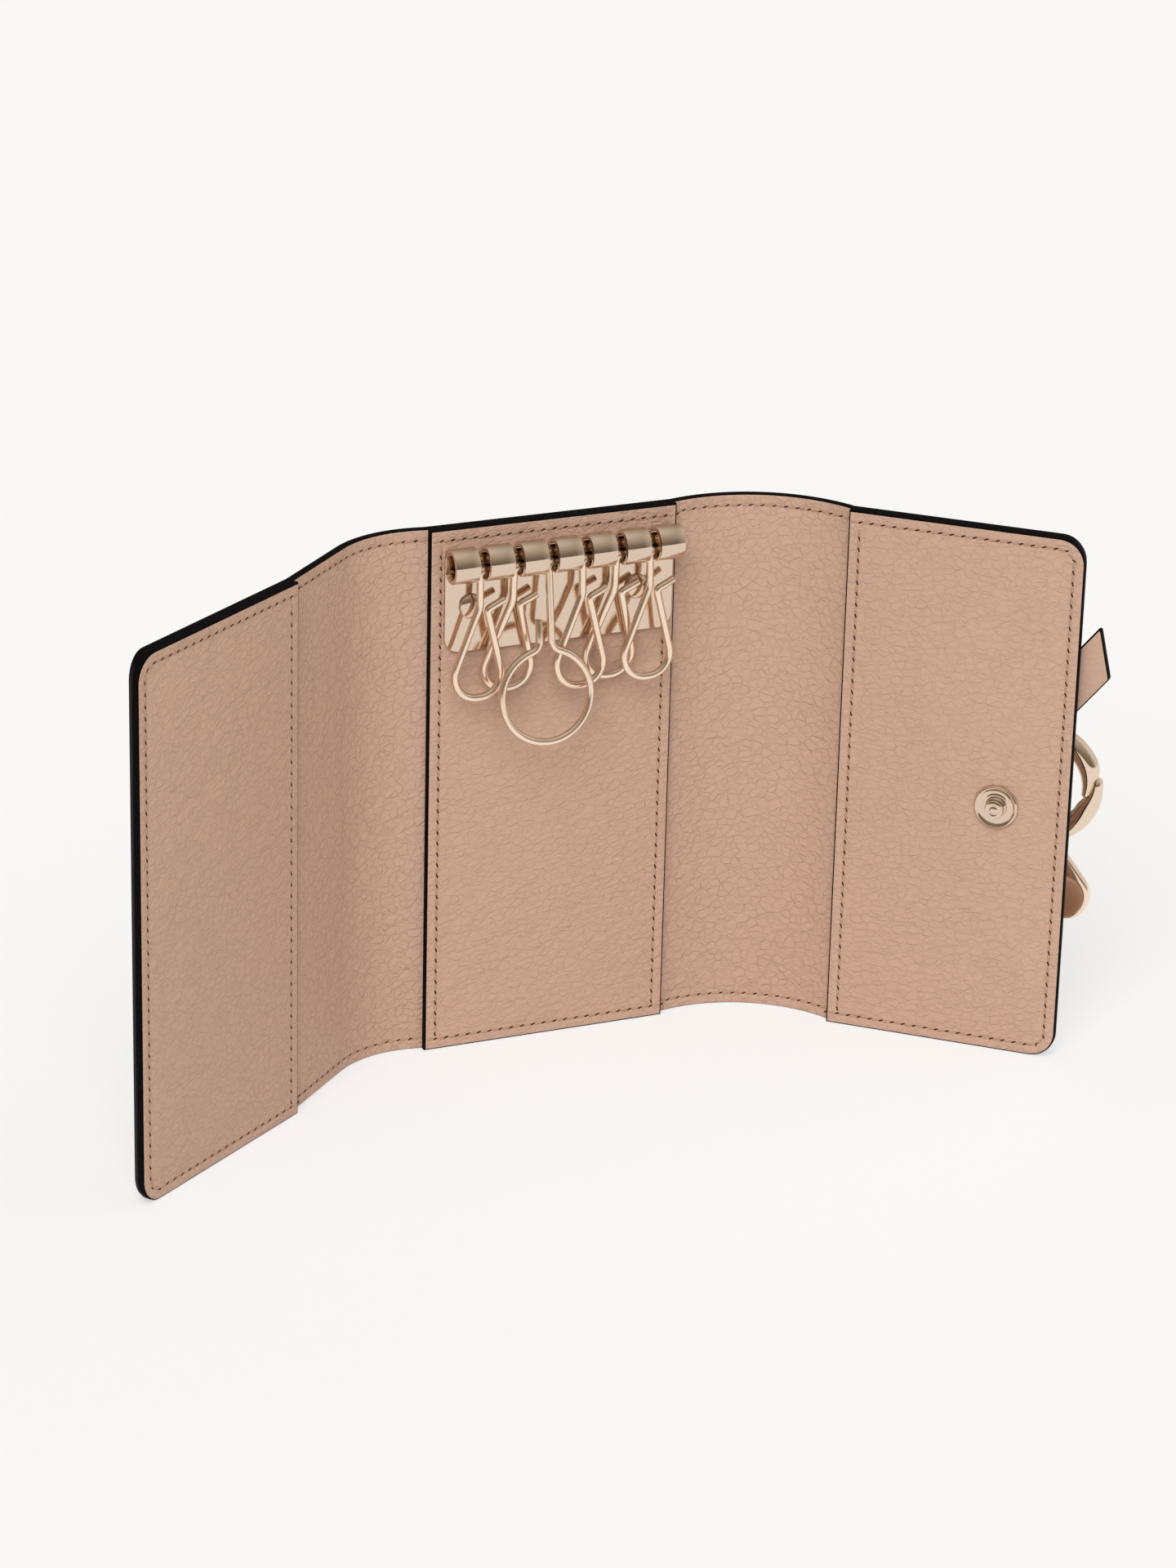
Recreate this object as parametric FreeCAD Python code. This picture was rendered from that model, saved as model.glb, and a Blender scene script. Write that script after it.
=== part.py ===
import FreeCAD
import Part
import math
import os

# Tri-fold leather key case, standing open on its lower edge. Millimetres, +Z up.
# The origin is at the bottom of the centre panel, in the middle of its board. +X runs along the
# centre panel to the right, -Y is the inner side with the keys and +Y is the outside.
# A place on a panel is s (along the strip, away from the centre panel), n (through the strip,
# outwards, from the inner face of its board) and z (up).

Vector = FreeCAD.Vector
UP = Vector(0, 0, 1)
OUTWARDS = Vector(0, 1, 0)
INWARDS = Vector(0, -1, 0)
ALONG = Vector(1, 0, 0)
LEFT = -1
RIGHT = 1

# Leather strip
height = 105.0
centre_width = 48.9
left_flap_width = 46.8
right_flap_width = 45.2
left_spine_length = 38.3
right_spine_length = 35.4
overlay_thickness = 1.25
board_thickness = 0.8
leather_thickness = 0.95
flap_corner_radius = 5.0
fold_gap = 0.05

# Rest shape of the spines: turns towards the keys are positive
left_spine_straight = 2.5
left_spine_bend_radius = 19.1
left_inner_turn_deg = -7.5
left_flap_heading_deg = 35.0
right_spine_bend_radius = 26.4
right_inner_turn_deg = -13.5
right_flap_heading_deg = 40.7

# Closed case: the left flap lies over the keys, the right flap over the left one
closed_heading_deg = 180.0
closed_depth = 20.0
snap_gap = 3.0

# Key bar: a plate whose top is curled into knuckles
knuckle_pitch = 6.755
knuckle_gap = 1.9
bar_shift = 0.95
bar_sheet = 0.8
curl_radius = 3.3
curl_seam_deg = 50.0
bar_axis_drop = 6.1
plate_drop = 17.9
plate_corner_radius = 3.0
slot_overrun = 1.0

# Rivets of the key bar
rivet_head_radius = 2.4
rivet_head_height = 1.2
rivet_shank_radius = 1.0
rivet_left_inset = 5.05
rivet_right_inset = 7.3
rivet_drop = 9.0
washer_radius = 2.4
washer_thickness = 0.3
shank_clearance = 0.05

# Key hooks: bent wire, each with a leg in the knuckle on its right
wire_radius = 0.72
leg_drop = 1.5
leg_reach = 4.0
leg_bend_radius = 0.9
hook_neck = 6.6
hook_neck_radius = 4.0
hook_length = 24.3
hook_left_reach = 7.2
hook_right_reach = 5.2
hook_bottom_radius = 4.3
hook_kink_out = 1.4
hook_kink_drop = 7.5
hook_kink_radius = 0.9
hook_tip_out = 4.9
hook_tip_drop = 5.8
front_hook_swing_deg = 3.0
back_hook_swing_deg = -4.0

# Key ring: the same wire, bent into a large open circle
ring_radius = 8.8
ring_drop = 24.8
ring_shift = 1.4
ring_neck_radius = 2.5
ring_tip_radius = 2.0
ring_tip_inset = 2.4
ring_tip_drop = 10.3
ring_swing_deg = 9.0

# Snap fastener
stud_inset = 14.0
stud_z = 50.2
stud_flange_radius = 4.3
stud_flange_thickness = 0.5
stud_rim_width = 0.7
stud_rim_height = 0.8
stud_post_radius = 1.7
stud_post_height = 2.3
stud_nub_radius = 1.85
stud_nub_height = 0.8
snap_shank_radius = 1.1
snap_back_radius = 2.6
socket_radius = 4.5
socket_height = 2.0
socket_base = 0.4
socket_lip = 0.5
socket_mouth_radius = 2.15
socket_cavity_radius = 2.9
spring_wire_radius = 0.3
spring_radius = 2.3
spring_slit = 0.8

# Ornament on the outer face of the right flap
strap_width = 7.95
strap_thickness = 1.7
strap_edge_z = 77.2
strap_slope_deg = 52.1
strap_start_inset = 19.2
strap_top_reach = 3.0
strap_bottom_reach = 5.25
charm_inset = 7.7
charm_z = 53.0
charm_radius = 10.05
charm_section_radius = 2.1
charm_split = 0.12
charm_split_deg = 40.0
keeper_thickness = 1.0
keeper_width = 6.0
keeper_length = 9.5
keeper_clearance = 0.7
keeper_rivet_rise = 6.8
keeper_rivet_radius = 1.9
keeper_rivet_height = 1.0
link_inset = 5.6
link_radius = 4.4
link_wire_radius = 0.6
link_hang = 0.9
link_lean_deg = 17.2
drop_radius = 5.05
drop_eye_radius = 2.5
drop_eye_hole_radius = 1.3
drop_eye_gap = 0.2
drop_length = 14.65
drop_thickness = 2.0

overlay_face = -overlay_thickness
outer_face = board_thickness + leather_thickness
strip_layers = [("overlay", overlay_face, 0), ("board", 0, board_thickness),
                ("leather", board_thickness, outer_face)]


def direction(heading):
    """Unit vector along the strip on the right-hand side, for a heading towards the keys."""
    return Vector(math.cos(heading), -math.sin(heading), 0)


def outward(heading):
    """Unit vector out of the strip's outer face, for a heading on the right-hand side."""
    return Vector(math.sin(heading), math.cos(heading), 0)


def mirrored(place, hand):
    """The place on the left or right side of the case."""
    return Vector(hand * place.x, place.y, place.z)


def walk(station, length, bend_radius):
    """The station (place, heading) reached along a straight run or an even bend."""
    place, heading = station
    if not bend_radius:
        return place + direction(heading) * length, heading
    end = heading + length / bend_radius
    return place + (outward(end) - outward(heading)) * bend_radius, end


def station_at(start, runs, distance):
    """The station at a distance along runs of (length, bend radius)."""
    station = start
    for length, bend_radius in runs[:-1]:
        if distance <= length:
            return walk(station, distance, bend_radius)
        station = walk(station, length, bend_radius)
        distance -= length
    return walk(station, distance, runs[-1][1])


def offset_curve(start, runs, offset, first, last, hand):
    """Edges that follow the strip at an offset from its inner face."""
    def place(distance):
        point, heading = station_at(start, runs, distance)
        return mirrored(point + outward(heading) * offset, hand)

    edges = []
    passed = 0
    for length, bend_radius in runs:
        begin = max(first, passed)
        end = min(last, passed + length)
        if bend_radius:
            edges.append(Part.Arc(place(begin), place((begin + end) / 2), place(end)).toShape())
        else:
            edges.append(Part.LineSegment(place(begin), place(end)).toShape())
        passed += length
    return edges


def end_point(edges, last):
    """The open end of a run of edges, either its last or its first point."""
    edge = edges[-1] if last else edges[0]
    return edge.valueAt(edge.LastParameter if last else edge.FirstParameter)


def spine_layer(start, runs, near, far, mitres, hand):
    """One layer of a spine half, with its ends cut back so that the fold can open."""
    total = sum(length for length, bend_radius in runs)
    sides = []
    for offset in (near, far):
        first = fold_gap + offset * math.tan(mitres[0])
        last = total - fold_gap - offset * math.tan(mitres[1])
        sides.append(offset_curve(start, runs, offset, first, last, hand))
    ends = [Part.LineSegment(end_point(sides[0], last), end_point(sides[1], last)).toShape()
            for last in (False, True)]
    outline = Part.Wire(Part.__sortEdges__(sides[0] + sides[1] + ends))
    return Part.Face(outline).extrude(UP * height)


def fold_side(runs_a, runs_b, inner_turn_deg, flap_heading_deg, depth):
    """Rest stations of a side, and the turns that close it and lay it open.

    The closed flap lies at its depth in front of the edge of the centre panel, where the chords
    of the two spine halves make a triangle with that depth."""
    edge = Vector(centre_width / 2, -board_thickness / 2, 0)
    start_a = (edge, math.radians(inner_turn_deg))
    start_b = station_at(start_a, runs_a, sum(length for length, bend_radius in runs_a))
    end_b = station_at(start_b, runs_b, sum(length for length, bend_radius in runs_b))
    flap = (end_b[0], math.radians(flap_heading_deg))
    chord_a = start_b[0] - edge
    chord_b = end_b[0] - start_b[0]
    rest_a = math.atan2(-chord_a.y, chord_a.x)
    rest_b = math.atan2(-chord_b.y, chord_b.x)
    a, b = chord_a.Length, chord_b.Length
    closed_a = math.pi / 2 - math.acos((a * a + depth * depth - b * b) / (2 * a * depth))
    closed_b = math.pi / 2 + math.acos((b * b + depth * depth - a * a) / (2 * b * depth))
    whole = math.radians(closed_heading_deg) - flap[1]
    inner = closed_a - rest_a
    middle = closed_b - rest_b - inner
    closing = [inner, middle, whole - inner - middle]
    opening = [turn * flap[1] / whole for turn in closing]
    flap_turn = flap[1] - end_b[1]
    mitres_a = (max(0, opening[0] - start_a[1]), opening[1] / 2)
    mitres_b = (opening[1] / 2, max(0, opening[2] - flap_turn))
    return {"half_a": (start_a, runs_a, mitres_a), "half_b": (start_b, runs_b, mitres_b),
            "flap": flap, "closing": closing, "opening": opening, "depth": depth}


left_half = left_spine_length / 2
right_half = right_spine_length / 2
left_side = fold_side(
    [(left_spine_straight, None), (left_half - left_spine_straight, left_spine_bend_radius)],
    [(left_half, None)], left_inner_turn_deg, left_flap_heading_deg, closed_depth)
right_side = fold_side(
    [(right_half, right_spine_bend_radius)], [(right_half, right_spine_bend_radius)],
    right_inner_turn_deg, right_flap_heading_deg,
    closed_depth + outer_face + snap_gap + overlay_thickness)
centre_station = (Vector(0, -board_thickness / 2, 0), 0)


def placed(shape, station, hand):
    """A shape made in s, n and z, set on the panel that starts at a station."""
    place, heading = station
    turn = FreeCAD.Rotation(UP, -hand * math.degrees(heading))
    moved = shape.copy()
    moved.Placement = FreeCAD.Placement(mirrored(place, hand), turn).multiply(shape.Placement)
    return moved


def rounded_edges(corners, radii, closed):
    """Lines through the corners, joined by tangent arcs of the given radii."""
    joints = []
    count = len(corners)
    for i, (corner, radius) in enumerate(zip(corners, radii)):
        if radius == 0:
            joints.append((corner, None, corner))
            continue
        back = (corners[i - 1] - corner).normalize()
        ahead = (corners[(i + 1) % count] - corner).normalize()
        half = back.getAngle(ahead) / 2
        inward = (back + ahead).normalize()
        trim = radius / math.tan(half)
        middle = corner + inward * (radius / math.sin(half) - radius)
        joints.append((corner + back * trim, middle, corner + ahead * trim))
    edges = []
    for i, (first, middle, last) in enumerate(joints):
        if i > 0 or closed:
            edges.append(Part.LineSegment(joints[i - 1][2], first).toShape())
        if middle:
            edges.append(Part.Arc(first, middle, last).toShape())
    return edges


def sheet(first, last, low, high, near, far, radii):
    """Flat sheet in s, n and z, with its four corners rounded."""
    corners = [Vector(first, near, low), Vector(last, near, low),
               Vector(last, near, high), Vector(first, near, high)]
    outline = Part.Wire(rounded_edges(corners, radii, True))
    return Part.Face(outline).extrude(OUTWARDS * (far - near))


def disc(radius, s, near, far, z):
    """Round piece or hole with its axis through the strip."""
    return Part.makeCylinder(radius, far - near, Vector(s, near, z), OUTWARDS)


def dome(radius, rise, s, base, z, side):
    """Rivet head that stands on a face: side is OUTWARDS or INWARDS."""
    ball_radius = (radius * radius + rise * rise) / (2 * rise)
    centre = Vector(s, base, z) + side * (rise - ball_radius)
    ball = Part.makeSphere(ball_radius, centre)
    return ball.common(Part.makeCylinder(ball_radius, rise, Vector(s, base, z), side))


def panel(hand, width):
    """Leather, board and overlay of a flap."""
    radii = [0, flap_corner_radius, flap_corner_radius, 0]
    layers = {}
    for name, near, far in strip_layers:
        layers[name] = sheet(0, hand * width, 0, height, near, far, radii)
    return layers


pieces = {}

# Centre panel
centre = {}
for name, near, far in strip_layers:
    centre[name] = sheet(-centre_width / 2, centre_width / 2, 0, height, near, far, [0, 0, 0, 0])

# Key bar, with a gap for each piece of wire that hangs in it, from the left
hung_wires = [("key_hook_1", front_hook_swing_deg), ("key_hook_2", back_hook_swing_deg),
              ("key_ring", ring_swing_deg), ("key_hook_3", front_hook_swing_deg),
              ("key_hook_4", back_hook_swing_deg), ("key_hook_5", front_hook_swing_deg)]
knuckle_count = len(hung_wires) + 1
bar_length = knuckle_count * knuckle_pitch - knuckle_gap
bar_left = bar_shift - bar_length / 2
bar_z = height - bar_axis_drop
bar_n = overlay_face - curl_radius
plate_front = overlay_face - bar_sheet
curl_axis = Vector(bar_left, bar_n, bar_z)
curl = Part.makeCylinder(curl_radius, bar_length, curl_axis, ALONG)
curl = curl.cut(Part.makeCylinder(curl_radius - bar_sheet, bar_length, curl_axis, ALONG))
seam_n = bar_n + curl_radius * math.cos(math.radians(curl_seam_deg))
seam = Part.makeBox(bar_length, overlay_face - seam_n, curl_radius,
                    Vector(bar_left, seam_n, bar_z - curl_radius))
plate = sheet(bar_left, bar_left + bar_length, bar_z - plate_drop, bar_z, plate_front, overlay_face,
              [plate_corner_radius, plate_corner_radius, 0, 0])
key_bar = curl.cut(seam).fuse(plate).removeSplitter()
slot_height = 2 * curl_radius + slot_overrun
hook_gaps = []
for i in range(1, knuckle_count):
    gap_left = bar_left + i * knuckle_pitch - knuckle_gap
    hook_gaps.append(gap_left + knuckle_gap / 2)
    slot = Part.makeBox(knuckle_gap, 2 * curl_radius, slot_height,
                        Vector(gap_left, bar_n - curl_radius, bar_z + curl_radius - slot_height))
    key_bar = key_bar.cut(slot)

# Rivets and washers of the key bar
rivets = []
washers = []
rivet_z = bar_z - rivet_drop
hole_radius = rivet_shank_radius + shank_clearance
washer_face = board_thickness - washer_thickness
for rivet_x in (bar_left + rivet_left_inset, bar_left + bar_length - rivet_right_inset):
    head = dome(rivet_head_radius, rivet_head_height, rivet_x, plate_front, rivet_z, INWARDS)
    shank = disc(rivet_shank_radius, rivet_x, plate_front, board_thickness, rivet_z)
    rivets.append(head.fuse(shank).removeSplitter())
    hole = disc(hole_radius, rivet_x, plate_front, board_thickness, rivet_z)
    washer_place = disc(washer_radius, rivet_x, washer_face, board_thickness, rivet_z)
    washers.append(washer_place.cut(hole))
    key_bar = key_bar.cut(hole)
    centre["overlay"] = centre["overlay"].cut(hole)
    centre["board"] = centre["board"].cut(hole).cut(washer_place)
for name, shape in centre.items():
    pieces["centre_" + name] = placed(shape, centre_station, RIGHT)
pieces["key_bar"] = placed(key_bar, centre_station, RIGHT)
pieces["key_bar_rivets"] = placed(Part.Compound(rivets), centre_station, RIGHT)
pieces["key_bar_washers"] = placed(Part.Compound(washers), centre_station, RIGHT)

# Key hooks and key ring
leg_z = bar_z - leg_drop


def wire_solid(edges):
    """Round wire along tangent edges, with its last end rounded."""
    path = Part.Wire(edges)
    first = edges[0]
    start = first.valueAt(first.FirstParameter)
    section = Part.Wire(Part.makeCircle(wire_radius, start, first.tangentAt(first.FirstParameter)))
    solid = path.makePipeShell([section], True, False)
    return solid.fuse(Part.makeSphere(wire_radius, end_point(edges, True)))


def hung(shape, swing_deg):
    """A hook swung from hanging straight down towards the viewer, on the centre panel."""
    turned = shape.copy()
    turned.rotate(Vector(0, bar_n, leg_z), ALONG, -swing_deg)
    return placed(turned, centre_station, RIGHT)


def hook_point(gap_x, out, drop):
    """A place on a hook: out is to the right of its gap, drop is below its leg."""
    return Vector(gap_x + out, bar_n, leg_z - drop)


def key_hook(gap_x):
    """Teardrop hook: leg, shank, round bottom and a springy tip that bears near the shank."""
    outline = [(knuckle_gap / 2 + leg_reach, 0, 0),
               (0, 0, leg_bend_radius),
               (0, hook_neck, hook_neck_radius),
               (-hook_left_reach, hook_length, hook_bottom_radius),
               (hook_right_reach, hook_length, hook_bottom_radius),
               (hook_kink_out, hook_kink_drop, hook_kink_radius),
               (hook_tip_out, hook_tip_drop, 0)]
    corners = [hook_point(gap_x, out, drop) for out, drop, radius in outline]
    return wire_solid(rounded_edges(corners, [radius for out, drop, radius in outline], False))


def key_ring(gap_x):
    """Large open ring: its shank curves into the circle, and its tip ends beside the shank."""
    def arc(centre_out, centre_drop, radius, start, end):
        points = []
        for angle in (start, (start + end) / 2, end):
            points.append(hook_point(gap_x, centre_out + radius * math.cos(angle),
                                     centre_drop + radius * math.sin(angle)))
        return Part.Arc(*points).toShape()

    def tangent_angle(side_out, side_radius):
        """Angle on the circle where a neck of this radius, centred at side_out, touches it."""
        return -math.acos((side_out + ring_shift) / (ring_radius + side_radius))

    neck_angle = tangent_angle(ring_neck_radius, ring_neck_radius)
    tip_out = -ring_tip_inset - ring_tip_radius
    tip_angle = tangent_angle(tip_out, ring_tip_radius)
    neck_drop = ring_drop + (ring_radius + ring_neck_radius) * math.sin(neck_angle)
    tip_drop = ring_drop + (ring_radius + ring_tip_radius) * math.sin(tip_angle)
    shank = rounded_edges([hook_point(gap_x, knuckle_gap / 2 + leg_reach, 0), hook_point(gap_x, 0, 0),
                           hook_point(gap_x, 0, neck_drop)], [0, leg_bend_radius, 0], False)
    bottom = math.pi / 2
    circle_end = tip_angle + 2 * math.pi
    return wire_solid(shank + [
        arc(ring_neck_radius, neck_drop, ring_neck_radius, math.pi, math.pi + neck_angle),
        arc(-ring_shift, ring_drop, ring_radius, neck_angle, bottom),
        arc(-ring_shift, ring_drop, ring_radius, bottom, circle_end),
        arc(tip_out, tip_drop, ring_tip_radius, tip_angle + math.pi, 0),
        Part.LineSegment(hook_point(gap_x, -ring_tip_inset, tip_drop),
                         hook_point(gap_x, -ring_tip_inset, ring_tip_drop)).toShape()])


for (name, swing_deg), gap_x in zip(hung_wires, hook_gaps):
    shape = key_ring(gap_x) if name == "key_ring" else key_hook(gap_x)
    pieces[name] = hung(shape, swing_deg)

# Spines
for side_name, side, hand in (("left", left_side, LEFT), ("right", right_side, RIGHT)):
    for half, half_name in (("half_a", "inner"), ("half_b", "outer")):
        start, runs, mitres = side[half]
        node = "%s_spine_%s_" % (side_name, half_name)
        pieces[node + "lining"] = spine_layer(start, runs, 0, board_thickness, mitres, hand)
        pieces[node + "leather"] = spine_layer(start, runs, board_thickness, outer_face, mitres, hand)

# Left flap with the snap socket on its outer face, where the closed stud meets it
stud_s = right_flap_width - stud_inset
left_flap = panel(LEFT, left_flap_width)
socket_s = LEFT * (centre_width - stud_s)
base_face = outer_face + socket_base
socket_top = outer_face + socket_height
snap_hole_radius = snap_shank_radius + shank_clearance
eyelet_flange = disc(snap_back_radius, socket_s, 0, washer_thickness, stud_z)
eyelet = eyelet_flange.fuse(disc(snap_shank_radius, socket_s, 0, base_face, stud_z)).removeSplitter()
socket_hole = disc(snap_hole_radius, socket_s, 0, base_face, stud_z)
left_flap["board"] = left_flap["board"].cut(socket_hole).cut(eyelet_flange)
left_flap["leather"] = left_flap["leather"].cut(socket_hole)
lip_face = socket_top - socket_lip
socket = disc(socket_radius, socket_s, outer_face, socket_top, stud_z)
for cavity in (disc(socket_cavity_radius, socket_s, base_face, lip_face, stud_z),
               disc(socket_mouth_radius, socket_s, base_face, socket_top, stud_z), socket_hole):
    socket = socket.cut(cavity)
spring_n = (base_face + lip_face) / 2
spring = Part.makeTorus(spring_radius, spring_wire_radius, Vector(socket_s, spring_n, stud_z), OUTWARDS)
slit_depth = 2 * spring_wire_radius
slit = Part.makeBox(spring_slit, slit_depth, spring_radius + slit_depth,
                    Vector(socket_s - spring_slit / 2, spring_n - spring_wire_radius, stud_z))
spring = spring.cut(slit)
for name, shape in left_flap.items():
    pieces["left_flap_" + name] = placed(shape, left_side["flap"], LEFT)
pieces["snap_socket"] = placed(socket, left_side["flap"], LEFT)
pieces["snap_spring"] = placed(spring, left_side["flap"], LEFT)
pieces["snap_socket_eyelet"] = placed(eyelet, left_side["flap"], LEFT)

# Right flap with the snap stud on its inner face
right_flap = panel(RIGHT, right_flap_width)
flange_face = overlay_face - stud_flange_thickness
post_end = overlay_face - stud_post_height
stud = disc(stud_flange_radius, stud_s, flange_face, overlay_face, stud_z)
rim = disc(stud_flange_radius, stud_s, overlay_face - stud_rim_height, overlay_face, stud_z)
rim = rim.cut(disc(stud_flange_radius - stud_rim_width, stud_s, overlay_face - stud_rim_height,
                   overlay_face, stud_z))
post = disc(stud_post_radius, stud_s, post_end, overlay_face, stud_z)
nub = disc(stud_nub_radius, stud_s, post_end, post_end + stud_nub_height, stud_z)
stud_shank = disc(snap_shank_radius, stud_s, overlay_face, board_thickness, stud_z)
stud = stud.multiFuse([rim, post, nub, stud_shank]).removeSplitter()
stud_hole = disc(snap_hole_radius, stud_s, overlay_face, board_thickness, stud_z)
stud_washer_place = disc(snap_back_radius, stud_s, washer_face, board_thickness, stud_z)
stud_washer = stud_washer_place.cut(stud_hole)
right_flap["overlay"] = right_flap["overlay"].cut(stud_hole)
right_flap["board"] = right_flap["board"].cut(stud_hole).cut(stud_washer_place)

# Ornament: diagonal strap, keeper loop, split ring, link and drop medallion
charm_s = right_flap_width - charm_inset
link_s = right_flap_width - link_inset
strap_face = outer_face + strap_thickness
charm_n = strap_face + keeper_thickness + keeper_clearance + charm_section_radius
half_rise = strap_width / 2 / math.cos(math.radians(strap_slope_deg))
strap_slope = math.tan(math.radians(strap_slope_deg))
strap_corners = []
for past_edge, side in ((-strap_start_inset, -1), (strap_bottom_reach, -1), (strap_top_reach, 1),
                        (-strap_start_inset, 1)):
    strap_corners.append(Vector(right_flap_width + past_edge, outer_face,
                                strap_edge_z + past_edge * strap_slope + side * half_rise))
strap = Part.Face(Part.makePolygon(strap_corners, True)).extrude(OUTWARDS * strap_thickness)

keeper_bore_radius = charm_section_radius + keeper_clearance
keeper_radius = keeper_bore_radius + keeper_thickness
keeper_left = charm_s - keeper_width / 2
keeper_z = charm_z + charm_radius
keeper_axis = Vector(keeper_left, charm_n, keeper_z)
keeper_tab = Part.makeBox(keeper_width, 2 * keeper_thickness, keeper_length,
                          Vector(keeper_left, strap_face, keeper_z))
keeper = Part.makeCylinder(keeper_radius, keeper_width, keeper_axis, ALONG).fuse(keeper_tab)
keeper = keeper.cut(Part.makeCylinder(keeper_bore_radius, keeper_width, keeper_axis, ALONG))
keeper_rivet_z = keeper_z + keeper_rivet_rise
tab_face = strap_face + 2 * keeper_thickness
keeper_hole = disc(hole_radius, charm_s, 0, tab_face, keeper_rivet_z)
keeper_rivet = dome(keeper_rivet_radius, keeper_rivet_height, charm_s, tab_face, keeper_rivet_z, OUTWARDS)
keeper_rivet = keeper_rivet.fuse(disc(rivet_shank_radius, charm_s, 0, tab_face, keeper_rivet_z))
keeper = keeper.cut(keeper_hole)
strap = strap.cut(keeper_hole)
for name in ("board", "leather"):
    right_flap[name] = right_flap[name].cut(keeper_hole)

charm_centre = Vector(charm_s, charm_n, charm_z)
charm = Part.makeTorus(charm_radius, charm_section_radius, charm_centre, OUTWARDS)
charm_reach = charm_radius + keeper_radius
split = Part.makeBox(2 * charm_reach, 2 * charm_reach, charm_split,
                     charm_centre - Vector(charm_reach, charm_reach, charm_split / 2))
split.rotate(charm_centre, ALONG, charm_split_deg)
charm_halves = sorted(charm.cut(split).Solids, key=lambda solid: solid.CenterOfMass.z)

link_out = link_s - charm_s
hinge_z = charm_z - math.sqrt(charm_radius * charm_radius - link_out * link_out)
link_z = hinge_z - link_hang
link = Part.makeTorus(link_radius, link_wire_radius, Vector(link_s, charm_n, link_z), ALONG)
hole_top = link_z - link_radius + link_wire_radius + drop_eye_gap
eye_z = hole_top - drop_eye_hole_radius
drop_z = eye_z + drop_eye_radius - drop_length + drop_radius
drop_lean = math.asin((drop_radius - drop_eye_radius) / (eye_z - drop_z))
drop_near = charm_n - drop_thickness / 2


def drop_place(centre_z, radius, angle):
    """A place on one of the two circles of the drop, by its angle above the horizontal."""
    return Vector(link_s + radius * math.cos(angle), drop_near, centre_z + radius * math.sin(angle))


drop_ends = [(eye_z, drop_eye_radius), (drop_z, drop_radius)]
tops = [[drop_place(z, radius, angle) for z, radius in drop_ends]
        for angle in (drop_lean, math.pi - drop_lean)]
drop_outline = [Part.LineSegment(*tops[0]), Part.LineSegment(*tops[1]),
                Part.Arc(tops[0][0], drop_place(eye_z, drop_eye_radius, math.pi / 2), tops[1][0]),
                Part.Arc(tops[0][1], drop_place(drop_z, drop_radius, -math.pi / 2), tops[1][1])]
drop_wire = Part.Wire(Part.__sortEdges__([curve.toShape() for curve in drop_outline]))
medallion = Part.Face(drop_wire).extrude(OUTWARDS * drop_thickness)
medallion = medallion.cut(disc(drop_eye_hole_radius, link_s, drop_near, drop_near + drop_thickness, eye_z))
drop_pivot = Vector(link_s, charm_n, hinge_z)
for hanging in (link, medallion):
    hanging.rotate(drop_pivot, INWARDS, link_lean_deg)

on_right_flap = {"snap_stud": stud, "snap_stud_washer": stud_washer, "ornament_strap": strap,
                 "ornament_keeper": keeper, "ornament_keeper_rivet": keeper_rivet,
                 "ornament_ring_lower": charm_halves[0], "ornament_ring_upper": charm_halves[1],
                 "ornament_link": link, "ornament_medallion": medallion}
for name, shape in right_flap.items():
    on_right_flap["right_flap_" + name] = shape
for name, shape in on_right_flap.items():
    pieces[name] = placed(shape, right_side["flap"], RIGHT)

os.makedirs("parts", exist_ok=True)
for name, shape in pieces.items():
    shape.exportStep("parts/%s.step" % name)


def told(label, place, *angles):
    """Print a joint's place and its angles in degrees."""
    print("JOINT %s %.4f %.4f %.4f" % (label, place.x, place.y, place.z),
          *["%.4f" % math.degrees(angle) for angle in angles])


for side_name, side, hand in (("left", left_side, LEFT), ("right", right_side, RIGHT)):
    hinges = (side["half_a"][0][0], side["half_b"][0][0], side["flap"][0])
    for fold, hinge, closing, opening in zip(("inner", "middle", "flap"), hinges,
                                             side["closing"], side["opening"]):
        told("%s_%s_fold" % (side_name, fold), mirrored(hinge, hand), closing, opening)
told("key_swing", Vector(0, bar_n - board_thickness / 2, leg_z))
charm_hinge = Part.Vertex(Vector(charm_s, charm_n, keeper_z))
drop_hinge = Part.Vertex(drop_pivot)
told("ornament_ring_swing", placed(charm_hinge, right_side["flap"], RIGHT).Point, right_side["flap"][1])
told("medallion_swing", placed(drop_hinge, right_side["flap"], RIGHT).Point, right_side["flap"][1])
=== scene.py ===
import bmesh
import bpy
import math
from mathutils import Matrix, Vector


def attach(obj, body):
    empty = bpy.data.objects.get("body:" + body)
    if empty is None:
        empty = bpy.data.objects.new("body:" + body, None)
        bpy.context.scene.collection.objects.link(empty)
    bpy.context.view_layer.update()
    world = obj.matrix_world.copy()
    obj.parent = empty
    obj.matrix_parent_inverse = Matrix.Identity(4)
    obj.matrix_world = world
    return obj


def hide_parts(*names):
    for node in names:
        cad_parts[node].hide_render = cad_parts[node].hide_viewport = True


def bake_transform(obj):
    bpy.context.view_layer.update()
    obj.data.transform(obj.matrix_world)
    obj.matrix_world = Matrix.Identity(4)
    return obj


# Tri-fold leather key case, standing open. Pieces are modelled in millimetres, in the part's own frame.
# A place on a panel is x (along the panel), y (outwards, from the inner face of its board) and z (up).

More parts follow.
